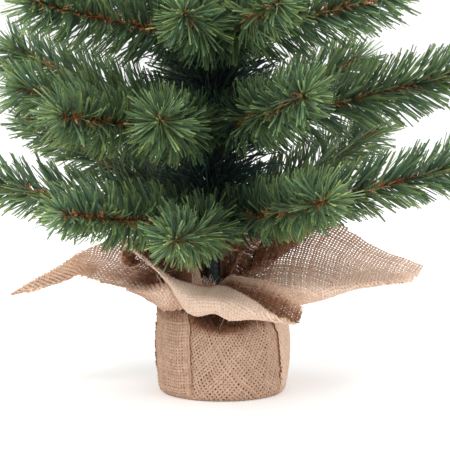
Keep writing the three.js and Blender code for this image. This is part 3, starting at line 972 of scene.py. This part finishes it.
def fibre_parts(rng, roots, heading, length, width, tone=(0.8, 0.1), curl=0.35):
    """Loose fibres and thread ends, in millimetres, each curving its own way."""
    count = len(roots)
    heading = unit(heading + rng.normal(0, 0.25, (count, 3)))
    side = unit(np.cross(heading, rng.normal(0, 1, (count, 3))))
    over = np.cross(side, heading)
    bend = rng.normal(0, curl, count)[:, None] * over + rng.normal(0, curl, count)[:, None] * side
    u = np.linspace(0, 1, FIBRE_RINGS)
    points = np.zeros((count, FIBRE_RINGS, 2, 3))
    for k in range(FIBRE_RINGS):
        middle = roots + length[:, None] * (u[k] * heading + u[k] ** 2 * bend)
        half = side * (width * (1 - 0.5 * u[k]) / 2)[:, None]
        points[:, k, 0], points[:, k, 1] = middle - half, middle + half
    shade = np.zeros((count, FIBRE_RINGS, 2, 3))
    shade[..., 0] = np.clip(rng.normal(*tone, count), 0, 1)[:, None, None]
    shade[:, :, 1, 2] = 1.0
    return points.reshape(-1, 3) * MM, ribbon_faces(count, FIBRE_RINGS), 0, shade.reshape(-1, 3)


# ---- burlap: looks
# How each petal is woven. Each row of tone and cover is a place, from first row 0 to last 1, and its values
# from tip to neck. Low tones are painted shade, on the petals' inner faces, in hollows and towards the neck.
PETALS = {
    "right": dict(
        grid=RIGHT_PETAL, turn=-2, raw=("top", "tip"), fringe=0.6,
        tone=[
            (0, [0.62, 0.58, 0.5, 0.34, 0.15]),
            (0.32, [0.72, 0.66, 0.56, 0.36, 0.12]),
            (0.4, [0.78, 0.74, 0.66, 0.52, 0.3]),
            (0.62, [0.9, 0.9, 0.84, 0.7, 0.45]),
            (1, [0.92, 0.92, 0.86, 0.66, 0.4])],
        cover=[(0, [0.56]), (0.32, [0.6, 0.62]), (0.42, [0.78, 0.8]), (1, [0.84, 0.86])]),
    "back": dict(
        grid=BACK_PETAL, turn=48, raw=("top",), cover=0.92,
        tone=[(0, [0.48]), (0.4, [0.36]), (1, [0.24])]),
    "front": dict(
        grid=FRONT_PETAL, turn=6, raw=("tip",), even=0.7,
        tone=[
            (0, [0.6]), (0.08, [0.56, 0.52]), (0.17, [0.36, 0.3]), (0.25, [0.24, 0.14]),
            (0.42, [0.2, 0.08]), (0.475, [0.25, 0.2]), (0.505, [0.84, 0.92]), (0.66, [0.9, 0.88]),
            (0.8, [0.86, 0.82]), (1, [0.74, 0.6])],
        cover=[(0, [0.86]), (0.42, [0.8, 0.86]), (0.5, [0.97]), (1, [0.97])]),
    "left": dict(
        grid=LEFT_PETAL, turn=28, even=0.8, gap=((0.33, 0.62), 0.53),
        tone=[
            (0, [0.85, 0.85, 0.8, 0.74, 0.6, 0.5, 0.36, 0.25, 0.25]),
            (0.25, [0.85, 0.85, 0.8, 0.7, 0.56, 0.44, 0.28, 0.18, 0.12]),
            (0.46, [0.85, 0.82, 0.76, 0.66, 0.56, 0.42, 0.25, 0.18, 0.12]),
            (0.5, [0.85, 0.85, 0.8, 0.7, 0.62, 0.66, 0.84, 0.9, 0.85]),
            (0.85, [0.8, 0.8, 0.76, 0.7, 0.6, 0.7, 0.84, 0.86, 0.75]),
            (1, [0.7, 0.7, 0.6, 0.6, 0.5, 0.5, 0.5, 0.45, 0.4])],
        cover=[
            (0, [1.2, 1.15, 1.05, 0.84, 0.6, 0.58, 0.68, 0.8, 0.9]),
            (0.46, [1.2, 1.15, 1.05, 0.8, 0.58, 0.58, 0.68, 0.8, 0.9]),
            (0.5, [1.2, 1.15, 1.05, 0.8, 0.7, 0.86, 0.97, 0.97, 0.97]),
            (1, [1.2, 1.15, 1.05, 0.8, 0.7, 0.86, 0.97, 0.97, 0.97])]),
}
# The curl is light at its open rim and darker deeper inside: painted shade.
LOOP_TONE_AND_SHADE = [(0, [0.85]), (0.12, [0.66]), (0.2, [0.3]), (1, [0.2])]
# The throat is darker down towards the tie: painted shade.
THROAT_TONE_AND_SHADE = [(0, [0.42]), (1, [0.16])]


def burlap_material():
    look = Surface("burlap_yarn", 0.85, Specular_IOR_Level=0.15)
    tone, _, across = look.shade()
    body = look.ramp(
        tone, (0.0, (0.05, 0.022, 0.014)), (0.25, (0.3, 0.14, 0.08)), (0.5, (0.68, 0.48, 0.36)),
        (0.8, (0.88, 0.7, 0.565)), (1.0, (0.96, 0.81, 0.695)))
    fibre = look.mottle(1100.0, 3.0, (0.3, (0.82, 0.79, 0.77)), (0.7, (1.14, 1.14, 1.13)))
    body = look.multiply(body, fibre)
    patch = look.mottle(45.0, 3.0, (0.3, (0.94, 0.92, 0.9)), (0.7, (1.05, 1.04, 1.03)))
    body = look.multiply(body, patch)
    # darker yarn edges and a slightly lighter middle: painted shade and highlight of a round yarn
    rest = look.math("SUBTRACT", 1.0, across)
    middle = look.math("MULTIPLY", look.math("MULTIPLY", across, rest), 4.0)
    edges = look.ramp(middle, (0.0, (0.62, 0.54, 0.48)), (0.55, WHITE), (1.0, grey(1.06)))
    look.colour(look.multiply(body, edges))
    grain = look.math("MULTIPLY", look.noise(1700.0, 3.0), 0.3)
    look.bump(look.math("ADD", middle, grain), 0.0006, 0.8)
    look.translucent(0.2, (1.35, 0.95, 0.7))
    return look.material


def painted_shoulder_shade(tone, hollow):
    """Rows of a wall lap's tone, from its foot up to its shoulder, which is darkened with painted shade; with
    hollow, a dent in the shoulder gets painted shadow too.
    """
    rising = [(0.58, [tone]), (0.7, [tone * 0.75])]
    if hollow:
        rising = [
            (0.535, [tone]),
            (0.575, [tone, 0.34, 0.06, 0.3, tone, tone, tone]),
            (0.61, [tone, 0.12, 0.02, 0.1, 0.3, 0.4, tone]),
            (0.68, [0.3, 0.05, 0.02, 0.06, 0.1, 0.14, 0.34])]
    return [(0, [tone]), *rising, (0.8, [0.15]), (1, [0.05])]


def build_wall(rng):
    """The laps of cloth round the base, and a wall of cloth behind them, dark with painted shade."""
    parts = []
    for tone, shape, weave in WALL_LAPS:
        grid, flat = wall_grid(**shape)
        tone = painted_shoulder_shade(tone, "ridge" in shape)
        parts += weave_parts(rng, grid, flat=flat, tone=tone, even=0.55, **weave)
    # the inner layer's low tone is painted shade
    grid, flat = wall_grid((0, 360), inset=INNER_WALL_INSET)
    return parts + weave_parts(rng, grid, 31, flat=flat, tone=0.1, cover=0.9)


def front_fibres(rng, front):
    """Fuzz on the front petal's flap, and the tuft on its crest."""
    rows, columns = front.shape[:2]
    flap = front[int(rows * 0.5):int(rows * 0.86)].reshape(-1, 3)
    roots = flap[rng.integers(0, len(flap), 500)]
    length, width = rng.uniform(1.5, 5, 500), rng.uniform(0.1, 0.2, 500)
    fuzz = fibre_parts(rng, roots, (0.0, -0.8, 0.3), length, width, tone=(0.9, 0.08), curl=0.8)
    crest = front[int(rows * 0.5), int(columns * 0.56):int(columns * 0.7)]
    roots = crest[rng.integers(0, len(crest), 120)] + rng.normal(0, 0.9, (120, 3))
    length, width = rng.uniform(3, 9, 120), rng.uniform(0.35, 0.8, 120)
    tuft = fibre_parts(rng, roots, (0.1, -0.3, 0.9), length, width, tone=(0.88, 0.1), curl=0.6)
    return [fuzz, tuft]


def loose_threads(rng):
    """Threads under the curl at the left, and the ones that hang from the front petal."""
    roots = np.array([-46.0, -50.0, 24.0]) + NECK + rng.normal(0, 1, (14, 3)) * np.array([3.0, 1.0, 3.0])
    length, width = rng.uniform(9, 17, 14), rng.uniform(0.4, 0.8, 14)
    under_curl = fibre_parts(rng, roots, (0.35, -0.2, -0.9), length, width, tone=(0.72, 0.1))
    roots = np.array([[13.7, -90.0, -1.0], [14.6, -89.0, -2.0], [36.0, -84.0, -12.0]]) + NECK
    length, width = np.array([21.0, 12.0, 7.0]), np.array([0.75, 0.5, 0.45])
    hanging = fibre_parts(rng, roots, (0.12, -0.05, -1.0), length, width, tone=(1.0, 0.0), curl=0.12)
    return [under_curl, hanging]


def build_burlap():
    rng = np.random.default_rng(SEED + 202)
    burlap = burlap_material()
    grid, flat = base_grid()
    parts = weave_parts(rng, grid, 20, flat=flat)
    parts += build_wall(rng)
    petals = {}
    for name, petal in PETALS.items():
        look = dict(petal)
        petals[name] = smooth_grid(look.pop("grid"))
        parts += weave_parts(rng, petals[name], **look)
    parts += weave_parts(rng, loop_grid(), 10, tone=LOOP_TONE_AND_SHADE, cover=0.95, raw=("top",), fringe=0.5)
    parts += weave_parts(rng, throat_grid(), 20, tone=THROAT_TONE_AND_SHADE, cover=0.92)
    parts += front_fibres(rng, petals["front"])
    parts += loose_threads(rng)
    cloth = mesh_piece("burlap_cloth", parts, [burlap])
    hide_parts("burlap_wrap")
    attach(cloth, "base")


build_burlap()


# ---- parts kept from the CAD
def cement_material():
    look = Surface("cast_cement", 0.9)
    mottle = look.mottle(70.0, 5.0, (0.3, (0.4, 0.385, 0.36)), (0.7, (0.62, 0.6, 0.565)))
    pits = look.mottle(900.0, 2.0, (0.33, (0.55, 0.54, 0.53)), (0.42, WHITE))
    look.colour(look.multiply(mottle, pits))
    look.bump(look.noise(700.0, 4.0), 0.0006, 0.6)
    return look.material


def steel_material():
    look = Surface("painted_tube", 0.45, Metallic=0.4)
    look.colour(look.mottle(220.0, 4.0, (0.3, (0.012, 0.02, 0.016)), (0.7, (0.04, 0.06, 0.045))))
    look.roughness(look.mottle(300.0, 3.0, (0.3, grey(0.35)), (0.7, grey(0.6))))
    look.bump(look.noise(800.0), 0.0001, 0.4)
    return look.material


def jute_material():
    look = Surface("jute_twine", 0.9)
    strands = look.noise(420.0, 4.0, vector=look.place((0.5, 0.5, 2.4)))
    look.colour(look.ramp(
        strands, (0.3, (0.2, 0.115, 0.06)), (0.55, (0.42, 0.27, 0.155)), (0.8, (0.62, 0.44, 0.28))))
    look.bump(strands, 0.0008, 0.8)
    return look.material


def dress_kept_nodes():
    looks = {"cement_weight": cement_material(), "trunk_tube": steel_material(), "neck_tie": jute_material()}
    for node, material in looks.items():
        kept = frame["nodes"][node]
        kept.data.materials.clear()
        kept.data.materials.append(material)


dress_kept_nodes()
